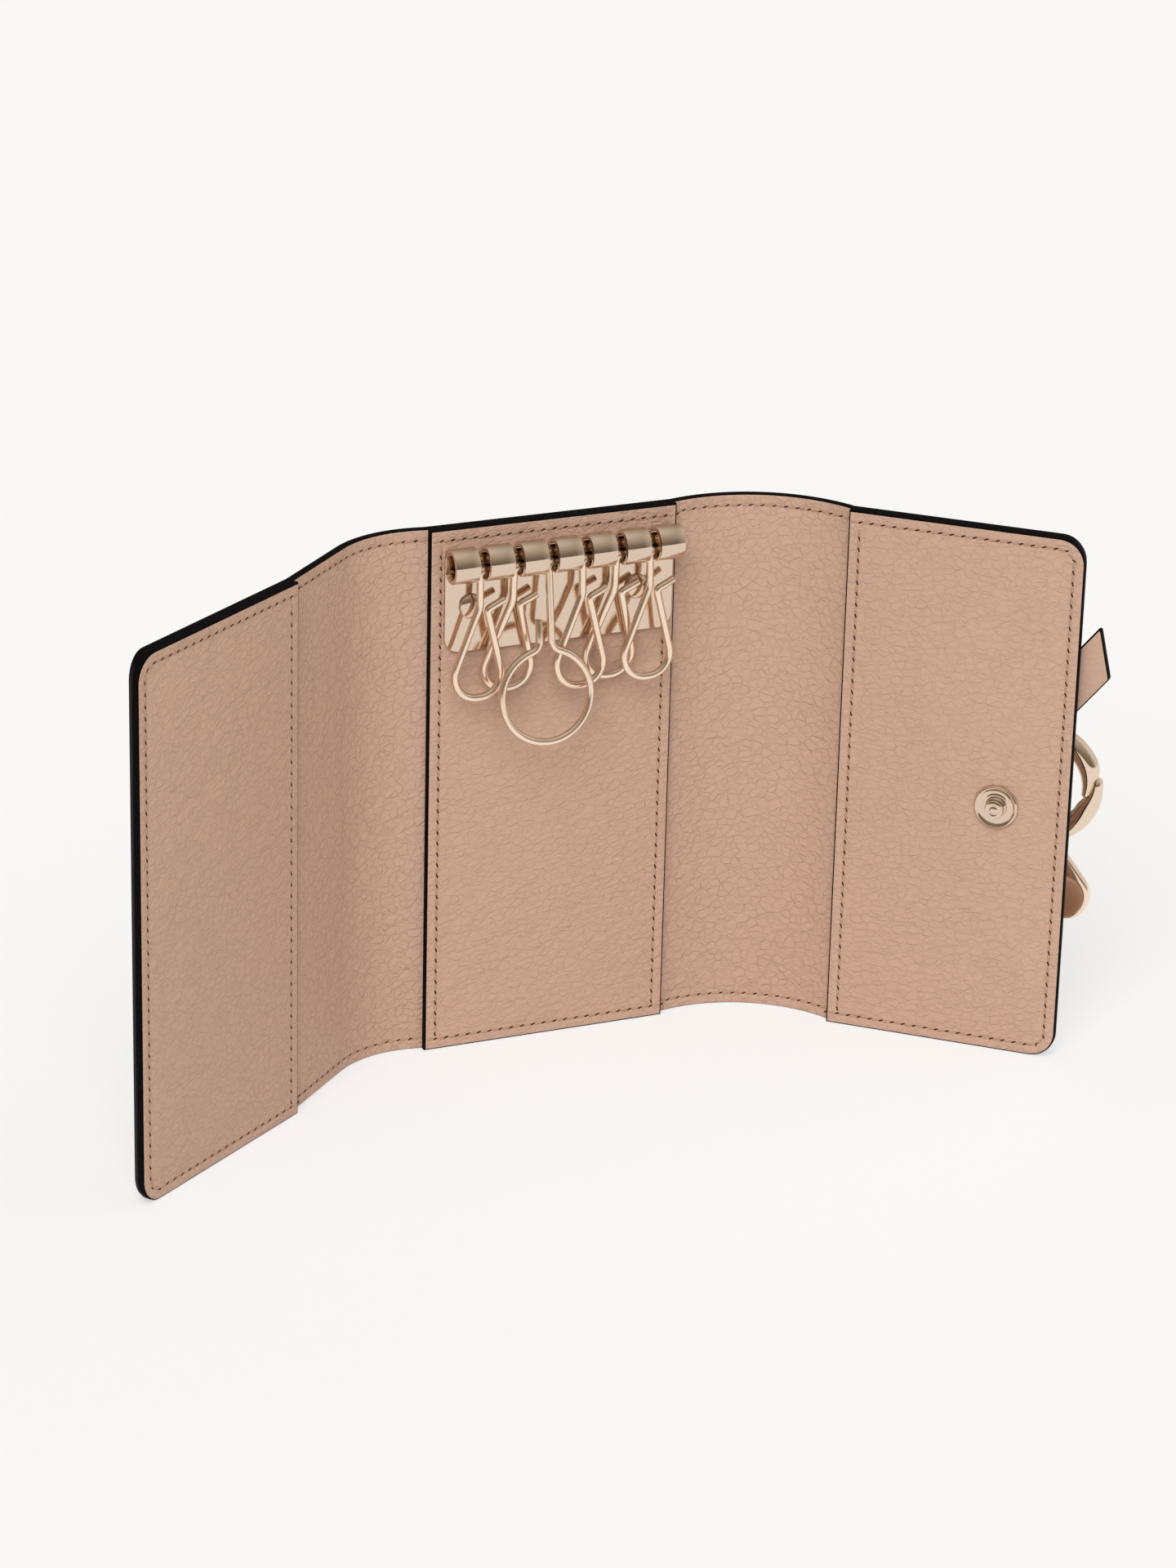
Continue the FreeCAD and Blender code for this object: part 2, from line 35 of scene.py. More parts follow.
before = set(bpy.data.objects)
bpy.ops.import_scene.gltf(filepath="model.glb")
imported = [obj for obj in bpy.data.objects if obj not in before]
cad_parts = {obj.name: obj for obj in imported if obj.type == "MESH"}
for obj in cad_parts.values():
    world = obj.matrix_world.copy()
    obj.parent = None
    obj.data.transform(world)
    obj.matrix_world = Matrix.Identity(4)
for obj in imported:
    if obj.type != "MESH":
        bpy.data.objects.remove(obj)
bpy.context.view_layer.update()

MM = 0.001
HEIGHT = 105.0
CENTRE_WIDTH = 48.9
FLAP_WIDTH = {"left": 46.8, "right": 45.2}
SPINE_LENGTH = {"left": 38.3, "right": 35.4}
OVERLAY_FACE = -1.25
BOARD = 0.8
OUTER_FACE = 1.75
FLAP_CORNER = 5.0
EDGE_ROUND = 0.3
SKIVE = {"left": 1.3, "right": 0.4}

HAND = {"left": -1, "right": 1}
START_TURN = {"left": math.radians(-7.5), "right": math.radians(-13.5)}
FLAP_TURN = {"left": math.radians(35.0), "right": math.radians(40.7)}
SPINE_RUNS = {"left": [(2.5, 0.0), (16.65, 19.1), (19.15, 0.0)], "right": [(35.4, 26.4)]}

STITCH_INSET = 2.15
STITCH_PITCH = 2.2
STITCH_HALF = (0.84, 0.31, 0.17)
STITCH_SUNK = 0.06
STITCH_SLANT = 8
# Size, sinking and slant of the dark mark of painted shadow in each needle hole.
HOLE_SHADOW_HALF = (0.6, 0.2, 0.14)
HOLE_SHADOW_SUNK = 0.1
HOLE_SHADOW_SLANT = 25
ROW_END = 1.0
GROOVE_HALF = 0.42
GROOVE_DEPTH = 0.1


# Materials

def shader(name):
    """A new material, with its nodes, its main shader and the piece's own coordinates."""
    material = bpy.data.materials.new(name)
    material.use_nodes = True
    nodes = material.node_tree.nodes
    main = nodes["Principled BSDF"]
    spots = nodes.new("ShaderNodeTexCoord").outputs["Object"]
    return material, nodes, material.node_tree.links, main, spots


def scaled(nodes, links, spots, scale, tilt_deg=0.0):
    """Coordinates stretched by a scale along each axis, tilted in the upright plane."""
    mapping = nodes.new("ShaderNodeMapping")
    mapping.vector_type = "TEXTURE"
    mapping.inputs["Scale"].default_value = tuple(1 / part for part in scale)
    mapping.inputs["Rotation"].default_value = (0, math.radians(-tilt_deg), 0)
    links.new(spots, mapping.inputs["Vector"])
    return mapping.outputs["Vector"]


def noise(nodes, links, spots, scale, detail):
    """Cloudy pattern from 0 to 1."""
    cloud = nodes.new("ShaderNodeTexNoise")
    cloud.inputs["Scale"].default_value = scale
    cloud.inputs["Detail"].default_value = detail
    links.new(spots, cloud.inputs["Vector"])
    return cloud.outputs["Fac"]


def tones(nodes, links, value, stops):
    """Colours along a value, as (place, colour) stops."""
    ramp = nodes.new("ShaderNodeValToRGB")
    ramp.color_ramp.elements[0].position = stops[0][0]
    ramp.color_ramp.elements[0].color = (*stops[0][1], 1)
    ramp.color_ramp.elements[1].position = stops[-1][0]
    ramp.color_ramp.elements[1].color = (*stops[-1][1], 1)
    for place, colour in stops[1:-1]:
        ramp.color_ramp.elements.new(place).color = (*colour, 1)
    links.new(value, ramp.inputs["Fac"])
    return ramp.outputs["Color"]


def ranged(nodes, links, value, low, high, first=0.0, last=1.0):
    """A value moved from one range to another."""
    span = nodes.new("ShaderNodeMapRange")
    span.inputs["From Min"].default_value = first
    span.inputs["From Max"].default_value = last
    span.inputs["To Min"].default_value = low
    span.inputs["To Max"].default_value = high
    links.new(value, span.inputs["Value"])
    return span.outputs["Result"]


def relief(nodes, links, main, layers):
    """Bumps from (height, depth in metres) layers, stacked on each other."""
    below = None
    for height, depth in layers:
        bump = nodes.new("ShaderNodeBump")
        bump.inputs["Strength"].default_value = 1.0
        bump.inputs["Distance"].default_value = depth
        links.new(height, bump.inputs["Height"])
        if below:
            links.new(below, bump.inputs["Normal"])
        below = bump.outputs["Normal"]
    links.new(below, main.inputs["Normal"])


def leather(name, colour, pebble, stretch, pebble_depth, wrinkle_depth, shade):
    """Dyed leather: flat pebbles with painted shade in the fine creases between them, soft wrinkles and an
    uneven dye.
    """
    material, nodes, links, main, spots = shader(name)
    wander = nodes.new("ShaderNodeTexNoise")
    wander.inputs["Scale"].default_value = 0.7 / pebble
    links.new(spots, wander.inputs["Vector"])
    shift = nodes.new("ShaderNodeVectorMath")
    shift.operation = "MULTIPLY_ADD"
    links.new(wander.outputs["Color"], shift.inputs[0])
    shift.inputs[1].default_value = (pebble * 1.1,) * 3
    links.new(scaled(nodes, links, spots, (stretch, stretch, 1.0), 12), shift.inputs[2])
    cells = nodes.new("ShaderNodeTexVoronoi")
    cells.feature = "DISTANCE_TO_EDGE"
    cells.inputs["Scale"].default_value = 1.0 / pebble
    links.new(shift.outputs["Vector"], cells.inputs["Vector"])
    fading = ranged(nodes, links, noise(nodes, links, spots, 0.9 / pebble, 2), 0.0, 0.6, 0.35, 0.7)
    pebble_tops = nodes.new("ShaderNodeMath")
    pebble_tops.operation = "MAXIMUM"
    links.new(ranged(nodes, links, cells.outputs["Distance"], 0.0, 1.0, 0.0, 0.12), pebble_tops.inputs[0])
    links.new(fading, pebble_tops.inputs[1])
    pebbles = pebble_tops.outputs["Value"]
    level = stretch * 0.7
    wrinkles = noise(nodes, links, scaled(nodes, links, spots, (level, level, 1.0), 12), 620, 4)
    pores = noise(nodes, links, spots, 4200, 2)
    relief(nodes, links, main, [(wrinkles, wrinkle_depth), (pebbles, pebble_depth), (pores, 0.00002)])
    # Base colour: an uneven dye from a cloud, plus painted shade that darkens the creases between the
    # pebbles.
    cloud = noise(nodes, links, spots, 120, 3)
    dye_and_crease_shade = nodes.new("ShaderNodeMath")
    dye_and_crease_shade.operation = "MULTIPLY_ADD"
    links.new(cloud, dye_and_crease_shade.inputs[0])
    dye_and_crease_shade.inputs[1].default_value = 0.5
    links.new(ranged(nodes, links, pebbles, 0.0, 0.5), dye_and_crease_shade.inputs[2])
    # Painted shade: the crease colour is the leather's colour times shade.
    crease_shade = tuple(part * shade for part in colour)
    light = tuple(part * 1.03 for part in colour)
    links.new(tones(nodes, links, dye_and_crease_shade.outputs["Value"], [(0.2, crease_shade), (0.6, colour), (0.9, light)]),
              main.inputs["Base Color"])
    links.new(ranged(nodes, links, pebbles, 0.62, 0.5), main.inputs["Roughness"])
    main.inputs["Specular IOR Level"].default_value = 0.3
    return material


def paint(name, colour, roughness, shine):
    """Slightly lumpy paint: the black on cut leather edges, and also the painted shadow in the needle
    holes.
    """
    material, nodes, links, main, spots = shader(name)
    lumps = noise(nodes, links, spots, 900, 2)
    light = tuple(part * 1.6 for part in colour)
    links.new(tones(nodes, links, lumps, [(0.35, colour), (0.75, light)]), main.inputs["Base Color"])
    relief(nodes, links, main, [(lumps, 0.00004)])
    main.inputs["Roughness"].default_value = roughness
    main.inputs["Specular IOR Level"].default_value = shine
    return material


def thread(name, colour):
    """Twisted thread."""
    material, nodes, links, main, spots = shader(name)
    twist = nodes.new("ShaderNodeTexWave")
    twist.bands_direction = "DIAGONAL"
    twist.inputs["Scale"].default_value = 900
    twist.inputs["Distortion"].default_value = 1.5
    links.new(spots, twist.inputs["Vector"])
    dark = tuple(part * 0.8 for part in colour)
    links.new(tones(nodes, links, twist.outputs["Fac"], [(0.1, dark), (0.8, colour)]),
              main.inputs["Base Color"])
    main.inputs["Roughness"].default_value = 0.65
    return material


def metal(name, colour, roughness):
    """Polished plated metal with faint wear in its polish."""
    material, nodes, links, main, spots = shader(name)
    wear = noise(nodes, links, spots, 260, 3)
    pale = tuple(min(1.0, part * 1.03) for part in colour)
    links.new(tones(nodes, links, wear, [(0.3, colour), (0.75, pale)]), main.inputs["Base Color"])
    links.new(ranged(nodes, links, wear, roughness * 0.8, roughness * 1.3), main.inputs["Roughness"])
    main.inputs["Metallic"].default_value = 1.0
    return material


NUDE = (0.564, 0.374, 0.282)
# The last number of each leather sets how dark the painted shade in its creases is, as a share of its
# colour.
smooth_leather = leather("smooth_leather", NUDE, 0.0013, 0.6, 0.00008, 0.0004, 0.93)
grained_leather = leather("grained_leather", NUDE, 0.0016, 0.85, 0.0001, 0.0004, 0.915)
strap_leather = leather("strap_leather", NUDE, 0.0012, 0.6, 0.00003, 0.0001, 0.97)
edge_paint = paint("edge_paint", (0.003, 0.0025, 0.003), 0.55, 0.03)
# Leather-coloured thread, darkened as painted shade of the stitch groove it lies in.
shaded_seam_thread = thread("shaded_seam_thread", (0.5, 0.31, 0.215))
# Dark paint for the needle holes: painted shadow where the thread sinks into the leather.
needle_hole_shadow = paint("needle_hole_shadow", (0.045, 0.02, 0.012), 0.8, 0.1)
# One plated gold in three copies: the bar's copy is darker as painted shade, and the copy for the wires
# and medallion is paler as painted light.
pale_gold = metal("pale_gold", (0.82, 0.66, 0.52), 0.1)
shaded_bar_gold = metal("shaded_bar_gold", (0.725, 0.58, 0.46), 0.1)
lit_wire_gold = metal("lit_wire_gold", (0.93, 0.76, 0.61), 0.2)
plain_metal = metal("plain_metal", (0.72, 0.66, 0.56), 0.3)


# Places on the strip

def along(heading):
    """Direction of the strip on the right-hand side."""
    return Vector((math.cos(heading), -math.sin(heading), 0))


def outward(heading):
    """Direction out of the strip's outer face on the right-hand side."""
    return Vector((math.sin(heading), math.cos(heading), 0))


def spine_station(side, distance):
    """Place and heading on a spine, on the right-hand side, by the distance from the centre panel."""
    place = Vector((CENTRE_WIDTH / 2, -BOARD / 2, 0))
    heading = START_TURN[side]
    for index, (length, radius) in enumerate(SPINE_RUNS[side]):
        last = index == len(SPINE_RUNS[side]) - 1
        step = distance if last else min(distance, length)
        if radius:
            turned = heading + step / radius
            place = place + (outward(turned) - outward(heading)) * radius
            heading = turned
        else:
            place = place + along(heading) * step
        distance -= step
    return place, heading


def on_hand(side, vector):
    """The right-hand vector on its own side of the case."""
    return Vector((HAND[side] * vector.x, vector.y, vector.z))


def spine_spot(side, distance, depth, z):
    """A place on a spine, by its depth from the inner face."""
    place, heading = spine_station(side, distance)
    spot = place + outward(heading) * depth
    spot.z = z
    return on_hand(side, spot)


def panel_place(name):
    """Where a panel's own x, y and z are in the part's frame."""
    if name == "centre":
        return Matrix.Translation((0, -BOARD / 2, 0))
    turn = Matrix.Rotation(-HAND[name] * FLAP_TURN[name], 4, "Z")
    return Matrix.Translation(spine_spot(name, SPINE_LENGTH[name], 0, 0)) @ turn


# Modelling helpers

def of_kind(items, kind):
    """The items of one kind in a list of mesh parts."""
    return [item for item in items if isinstance(item, kind)]


def finished(name, bm, materials, nodes, body=None, place=None, bend=None, sharp=35):
    """Turn a mesh in millimetres into a piece that moves with a body, or, given a bend, is fixed where it
    stands.
    """
    if place:
        bmesh.ops.transform(bm, matrix=place, verts=bm.verts)
    bmesh.ops.scale(bm, vec=(MM, MM, MM), verts=bm.verts)
    bmesh.ops.recalc_face_normals(bm, faces=bm.faces)
    for face in bm.faces:
        face.smooth = True
    for edge in bm.edges:
        edge.smooth = edge.calc_face_angle(0.0) < math.radians(sharp)
    mesh = bpy.data.meshes.new(name)
    bm.to_mesh(mesh)
    bm.free()
    for material in materials:
        mesh.materials.append(material)
    piece = bpy.data.objects.new(name, mesh)
    bpy.context.scene.collection.objects.link(piece)
    if bend:
        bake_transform(piece)
    else:
        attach(piece, body)
    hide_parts(*nodes)
    return piece


def rounded(corners, radii, steps=8):
    """Flat points through the corners, with an arc of its radius at each corner."""
    points = []
    count = len(corners)
    for index, radius in enumerate(radii):
        corner = Vector(corners[index])
        if not radius:
            points.append(corner)
            continue
        back = (Vector(corners[index - 1]) - corner).normalized()
        ahead = (Vector(corners[(index + 1) % count]) - corner).normalized()
        half = back.angle(ahead) / 2
        centre = corner + (back + ahead).normalized() * (radius / math.sin(half))
        reach = radius / math.tan(half)
        first = corner + back * reach - centre
        last = corner + ahead * reach - centre
        for step in range(steps + 1):
            points.append(centre + first.slerp(last, step / steps).normalized() * radius)
    return points


def slab(outline, near, far):
    """Flat sheet from near to far, from its outline in x and z."""
    bm = bmesh.new()
    face = bm.faces.new([bm.verts.new((x, far, z)) for x, z in outline])
    grown = bmesh.ops.extrude_face_region(bm, geom=[face])
    bmesh.ops.translate(bm, vec=(0, near - far, 0), verts=of_kind(grown["geom"], bmesh.types.BMVert))
    bmesh.ops.recalc_face_normals(bm, faces=bm.faces)
    return bm


def flat_face(bm, side):
    """The sheet's large face that looks inwards (-1) or outwards (1)."""
    facing = [face for face in bm.faces if face.normal.y * side > 0.99]
    return max(facing, key=lambda face: face.calc_area())


def soften(bm, edges, offset, segments=3):
    """Round some edges."""
    bmesh.ops.bevel(bm, geom=edges, offset=offset, offset_type="OFFSET", segments=segments,
                    profile=0.5, affect="EDGES", material=-1)


def sharp_edges(bm, angle):
    """Edges that turn by more than an angle in degrees."""
    return [edge for edge in bm.edges if edge.calc_face_angle(0.0) > math.radians(angle)]


def sweep(bm, section, frames):
    """Draw a closed section along frames and close both ends."""
    verts = [bm.verts.new(frames[0] @ Vector((x, y, 0))) for x, y in section]
    edges = [bm.edges.new((verts[index - 1], verts[index])) for index in range(len(verts))]
    bmesh.ops.contextual_create(bm, geom=edges)
    for before, after in zip(frames, frames[1:]):
        grown = bmesh.ops.extrude_edge_only(bm, edges=edges)["geom"]
        edges = of_kind(grown, bmesh.types.BMEdge)
        moved = of_kind(grown, bmesh.types.BMVert)
        bmesh.ops.transform(bm, matrix=after @ before.inverted(), verts=moved)
    bmesh.ops.contextual_create(bm, geom=edges)


def circle(radius, count):
    """Points round a circle."""
    angles = [2 * math.pi * index / count for index in range(count)]
    return [(radius * math.cos(angle), radius * math.sin(angle)) for angle in angles]


def turning(path):
    """Frames along a path in the x-z plane, each looking along the path."""
    frames = []
    for index, point in enumerate(path):
        before = path[max(index - 1, 0)]
        after = path[min(index + 1, len(path) - 1)]
        ahead = (after - before).normalized()
        side = Vector((0, 1, 0)).cross(ahead)
        turn = Matrix((side, Vector((0, 1, 0)), ahead)).transposed().to_4x4()
        frames.append(Matrix.Translation(point) @ turn)
    return frames


def lathe(bm, profile, place, steps=40):
    """Turn a profile of (radius, height) round an axis; heights run along the place's z."""
    verts = [bm.verts.new((radius, 0, height)) for radius, height in profile]
    edges = [bm.edges.new(pair) for pair in zip(verts, verts[1:])]
    turned = bmesh.ops.spin(bm, geom=verts + edges, cent=(0, 0, 0), axis=(0, 0, 1),
                            angle=2 * math.pi, steps=steps, use_merge=True, use_duplicate=False)
    made = set(of_kind(turned["geom_last"], bmesh.types.BMVert)) | set(verts)
    grown = set(made)
    while made:
        made = {edge.other_vert(vert) for vert in made for edge in vert.link_edges} - grown
        grown |= made
    bmesh.ops.remove_doubles(bm, verts=list(grown), dist=0.0005)
    left = [vert for vert in grown if vert.is_valid]
    bmesh.ops.transform(bm, matrix=place, verts=left)


def painted(bm, index, chosen):
    """Give the chosen faces a material by its number."""
    for face in bm.faces:
        if chosen(face):
            face.material_index = index


# Stitching

THREAD_INDEX = 2
# Material number of the painted shadow in the needle holes.
HOLE_SHADOW_INDEX = 3


def one_stitch():
    """A stitch that lies along x and faces along z, with a dark sunk mark after it: painted shadow in the
    needle hole.
    """
    bm = bmesh.new()
    slant = Matrix.Rotation(math.radians(STITCH_SLANT), 4, "Z")
    bmesh.ops.create_uvsphere(bm, u_segments=8, v_segments=5, radius=1.0,
                              matrix=Matrix.Translation((0, 0, -STITCH_SUNK)) @ slant
                              @ Matrix.Diagonal((*STITCH_HALF, 1)))
    painted(bm, THREAD_INDEX, lambda face: True)
    # The needle hole is a dark flattened mark sunk under the surface: painted shadow, not a real colour.
    slant = Matrix.Rotation(math.radians(HOLE_SHADOW_SLANT), 4, "Z")
    hole_shadow = bmesh.ops.create_uvsphere(bm, u_segments=8, v_segments=4, radius=1.0,
                                     matrix=Matrix.Translation((STITCH_PITCH / 2, 0, -HOLE_SHADOW_SUNK)) @ slant
                                     @ Matrix.Diagonal((*HOLE_SHADOW_HALF, 1)))
    hole_shadow_verts = set(hole_shadow["verts"])
    painted(bm, HOLE_SHADOW_INDEX, lambda face: face.verts[0] in hole_shadow_verts)
    mesh = bpy.data.meshes.new("stitch")
    bm.to_mesh(mesh)
    bm.free()
    return mesh


stitch = one_stitch()


def sewn(bm, spots):
    """Stitches at spots of (place, direction, outwards)."""
    for place, ahead, out in spots:
        turn = Matrix((ahead, out.cross(ahead), out)).transposed().to_4x4()
        move = Matrix.Translation(place) @ turn
        stitch.transform(move)
        bm.from_mesh(stitch)
        stitch.transform(move.inverted())


def stepped(path, out):
    """Stitch spots along a path of points, evenly spread."""
    lengths = [(after - before).length for before, after in zip(path, path[1:])]
    total = sum(lengths)
    count = max(1, round(total / STITCH_PITCH))
    spots = []
    for number in range(count):
        left = (number + 0.5) * total / count
        index = 0
        while left > lengths[index]:
            left -= lengths[index]
            index += 1
        ahead = (path[index + 1] - path[index]).normalized()
        spots.append((path[index] + ahead * left, ahead, out))
    return spots


# Panels

def slanted(bm, end, skive):
    """Slant the free end of a layer, so that it runs in towards the outer face."""
    hand = math.copysign(1, end)
    for vert in bm.verts:
        reach = max(0.0, 1 + (hand * vert.co.x - abs(end)) / FLAP_CORNER)
        vert.co.x -= hand * skive * reach * max(0.0, vert.co.y) / OUTER_FACE


def edged_panel(name, first, last, radii, near, far, front, rows, materials, nodes, body, place,
                folds=(), skive=0.0):
    """One layer of a panel: painted edges, a stitch groove and stitches. It runs on past its folds."""
    outline = rounded([(first, 0), (last, 0), (last, HEIGHT), (first, HEIGHT)], radii)
    bm = slab(outline, near, far)
    face = flat_face(bm, front)

    def at_fold(piece):
        """True where all corners of an edge or face lie on a fold."""
        return any(all(abs(vert.co.x - fold) < 0.01 for vert in piece.verts) for fold in folds)

    soften(bm, [edge for edge in face.edges if not at_fold(edge)], EDGE_ROUND)
    painted(bm, 1, lambda side: abs(side.normal.y) < 0.985 and not at_fold(side))
    face = flat_face(bm, front)
    bmesh.ops.inset_region(bm, faces=[face], thickness=STITCH_INSET - EDGE_ROUND - GROOVE_HALF, depth=0,
                           use_even_offset=True)
    for depth in (-GROOVE_DEPTH, GROOVE_DEPTH):
        bmesh.ops.inset_region(bm, faces=[face], thickness=GROOVE_HALF, depth=depth, use_even_offset=True)
    level = near if front < 0 else far
    out = Vector((0, front, 0))
    for row in rows:
        path = [Vector((x, level, z)) for x, z in row]
        sewn(bm, stepped(path, out))
    slanted(bm, last, skive)
    return finished(name, bm, materials, nodes, body=body, place=place)


def flap_rows(width, hand, inner_row):
    """Stitch rows of a flap: top, outer side and bottom in one, and the row by the fold."""
    low = STITCH_INSET
    high = HEIGHT - STITCH_INSET
    far = hand * (width - STITCH_INSET)
    turn = FLAP_CORNER - STITCH_INSET
    near = hand * STITCH_INSET
    rows = [rounded([(0, high), (far, high), (far, low), (0, low)], [0, turn, turn, 0])]
    if inner_row:
        rows.append([Vector((near, high - ROW_END)), Vector((near, low + ROW_END))])
    return rows


sewn_overlay = [smooth_leather, edge_paint, shaded_seam_thread, needle_hole_shadow]
sewn_leather = [grained_leather, edge_paint, shaded_seam_thread, needle_hole_shadow]

half_width = CENTRE_WIDTH / 2
centre_place = panel_place("centre")
row_low = STITCH_INSET
row_high = HEIGHT - STITCH_INSET
row_ends = [[Vector((-half_width, z)), Vector((half_width, z))] for z in (row_low, row_high)]
row_sides = [[Vector((x, row_high - ROW_END)), Vector((x, row_low + ROW_END))]
             for x in (-half_width + STITCH_INSET, half_width - STITCH_INSET)]
edged_panel("centre_overlay_sewn", -half_width, half_width, [0, 0, 0, 0], OVERLAY_FACE, 0, -1,
            row_ends + row_sides, sewn_overlay, ["centre_overlay"], "case_centre",
            centre_place)
edged_panel("centre_leather_sewn", -half_width, half_width, [0, 0, 0, 0], BOARD, OUTER_FACE, 1,
            row_ends, sewn_leather, ["centre_leather"], "case_centre", centre_place,
            (-half_width, half_width))
centre_outline = [(-half_width, 0), (half_width, 0), (half_width, HEIGHT), (-half_width, HEIGHT)]
finished("centre_board_core", slab(centre_outline, 0, BOARD), [edge_paint], ["centre_board"],
         body="case_centre", place=centre_place)

for side, hand in HAND.items():
    place = panel_place(side)
    width = FLAP_WIDTH[side]
    radii = [0, FLAP_CORNER, FLAP_CORNER, 0]
    body = side + "_flap"
    edged_panel(side + "_flap_overlay_sewn", 0, hand * width, radii, OVERLAY_FACE, 0, -1,
                flap_rows(width, hand, True), sewn_overlay, [side + "_flap_overlay"],
                body, place)
    edged_panel(side + "_flap_leather_sewn", 0, hand * width, radii, BOARD, OUTER_FACE, 1,
                flap_rows(width, hand, False), sewn_leather, [side + "_flap_leather"],
                body, place, (0,), SKIVE[side])
    outline = rounded([(0, 0), (hand * width, 0), (hand * width, HEIGHT), (0, HEIGHT)], radii)
    core = slab(outline, 0, BOARD)
    slanted(core, hand * width, SKIVE[side])
    finished(side + "_flap_board_core", core, [edge_paint], [side + "_flap_board"], body=body,
             place=place)


# Spines: curved leather strips that run from one body to the next

BEND_STEP = 0.75
TRIM_REACH = 3


def spine_strip(side, label, first, last, trims, bend, nodes):
    """Strip of a spine between two distances, with rounded painted rims and two stitch rows a face."""
    bm = slab([(first, 0), (last, 0), (last, HEIGHT), (first, HEIGHT)], 0, OUTER_FACE)
    rims = [edge for edge in bm.edges
            if abs(edge.verts[0].co.z - edge.verts[1].co.z) < 0.01
            and abs(edge.verts[0].co.y - edge.verts[1].co.y) < 0.01]
    soften(bm, rims, EDGE_ROUND)
    painted(bm, 1, lambda face: abs(face.normal.z) > 0.4)
    levels = []
    for row in (row_low, row_high):
        levels += [row - GROOVE_HALF, row, row + GROOVE_HALF]
    cuts = [((0, 0, level), (0, 0, 1)) for level in levels]
    count = max(2, round((last - first) / BEND_STEP))
    cuts += [((first + (last - first) * step / count, 0, 0), (1, 0, 0)) for step in range(1, count)]
    for spot, facing in cuts:
        bmesh.ops.bisect_plane(bm, geom=bm.verts[:] + bm.edges[:] + bm.faces[:], dist=0.00001,
                               plane_co=spot, plane_no=facing)
    for vert in bm.verts:
        if min(abs(vert.co.z - row_low), abs(vert.co.z - row_high)) < 0.001:
            vert.co.y += GROOVE_DEPTH if vert.co.y < BOARD else -GROOVE_DEPTH
    for vert in bm.verts:
        distance = vert.co.x
        start_trim = math.tan(trims[0]) * max(0.0, 1 - (distance - first) / TRIM_REACH)
        end_trim = math.tan(trims[1]) * max(0.0, 1 - (last - distance) / TRIM_REACH)
        distance += vert.co.y * (start_trim - end_trim)
        vert.co = spine_spot(side, distance, vert.co.y, vert.co.z)
    count = round((last - first) / STITCH_PITCH)
    for z in (row_low, row_high):
        for depth, facing in ((0, -1), (OUTER_FACE, 1)):
            spots = []
            for number in range(count):
                distance = first + (number + 0.5) * (last - first) / count
                heading = spine_station(side, distance)[1]
                spots.append((spine_spot(side, distance, depth, z), on_hand(side, along(heading)),
                              on_hand(side, outward(heading)) * facing))
            sewn(bm, spots)
    start = spine_spot(side, first, OUTER_FACE / 2, 0)
    end = spine_spot(side, last, OUTER_FACE / 2, 0)
    return finished("%s_spine_%s_sewn" % (side, label), bm, sewn_leather, nodes,
                    bend=(*bend, start, end))


for side in HAND:
    inner, outer = side + "_spine_inner", side + "_spine_outer"
    whole = SPINE_LENGTH[side]
    cuts = [0, whole / 4, whole * 3 / 4, whole]
    end_turn = spine_station(side, whole)[1]
    spine_strip(side, "near", cuts[0], cuts[1], (-START_TURN[side], 0), ("case_centre", inner),
                [inner + "_lining"])
    spine_strip(side, "middle", cuts[1], cuts[2], (0, 0), (inner, outer),
                [inner + "_leather", outer + "_lining"])
    spine_strip(side, "far", cuts[2], cuts[3], (0, end_turn - FLAP_TURN[side]), (outer, side + "_flap"),
                [outer + "_leather"])


# Key bar: a plate curled at its top into knuckles

KNUCKLE_PITCH = 6.755
KNUCKLE_GAP = 1.9
KNUCKLES = 7
SHEET = 0.8
CURL = 3.3
BAR_LENGTH = KNUCKLES * KNUCKLE_PITCH - KNUCKLE_GAP
BAR_SHIFT = 0.95
BAR_LEFT = BAR_SHIFT - BAR_LENGTH / 2
BAR_DROP = 6.1
BAR_Z = HEIGHT - BAR_DROP
BAR_Y = OVERLAY_FACE - CURL
PLATE_DROP = 17.9
PLATE_LOW = BAR_Z - PLATE_DROP
PLATE_CORNER = 3.0
SLOT_DROP = 1.0
SLOT_LOW = BAR_Z - CURL - SLOT_DROP
CURL_TURN = math.radians(310)
BAR_EDGE = 0.12
RIVET = 2.4
RIVET_RISE = 1.2
RIVET_DROP = 9.0
RIVET_FROM_LEFT = 5.05
RIVET_FROM_RIGHT = 7.3

bm = bmesh.new()
stops = []
for number in range(KNUCKLES):
    stops += [BAR_LEFT + number * KNUCKLE_PITCH, BAR_LEFT + (number + 1) * KNUCKLE_PITCH - KNUCKLE_GAP]
low_verts = [bm.verts.new((x, OVERLAY_FACE, PLATE_LOW)) for x in stops]
low_edges = [bm.edges.new(pair) for pair in zip(low_verts, low_verts[1:])]
grown = bmesh.ops.extrude_edge_only(bm, edges=low_edges)["geom"]
bmesh.ops.translate(bm, vec=(0, 0, SLOT_LOW - PLATE_LOW), verts=of_kind(grown, bmesh.types.BMVert))
knuckle_edges = []
for edge in of_kind(grown, bmesh.types.BMEdge):
    if edge.calc_length() > (KNUCKLE_GAP + KNUCKLE_PITCH) / 2:
        knuckle_edges.append(edge)
grown = bmesh.ops.extrude_edge_only(bm, edges=knuckle_edges)["geom"]
bmesh.ops.translate(bm, vec=(0, 0, BAR_Z - SLOT_LOW), verts=of_kind(grown, bmesh.types.BMVert))
curl_start = of_kind(grown, bmesh.types.BMEdge) + of_kind(grown, bmesh.types.BMVert)
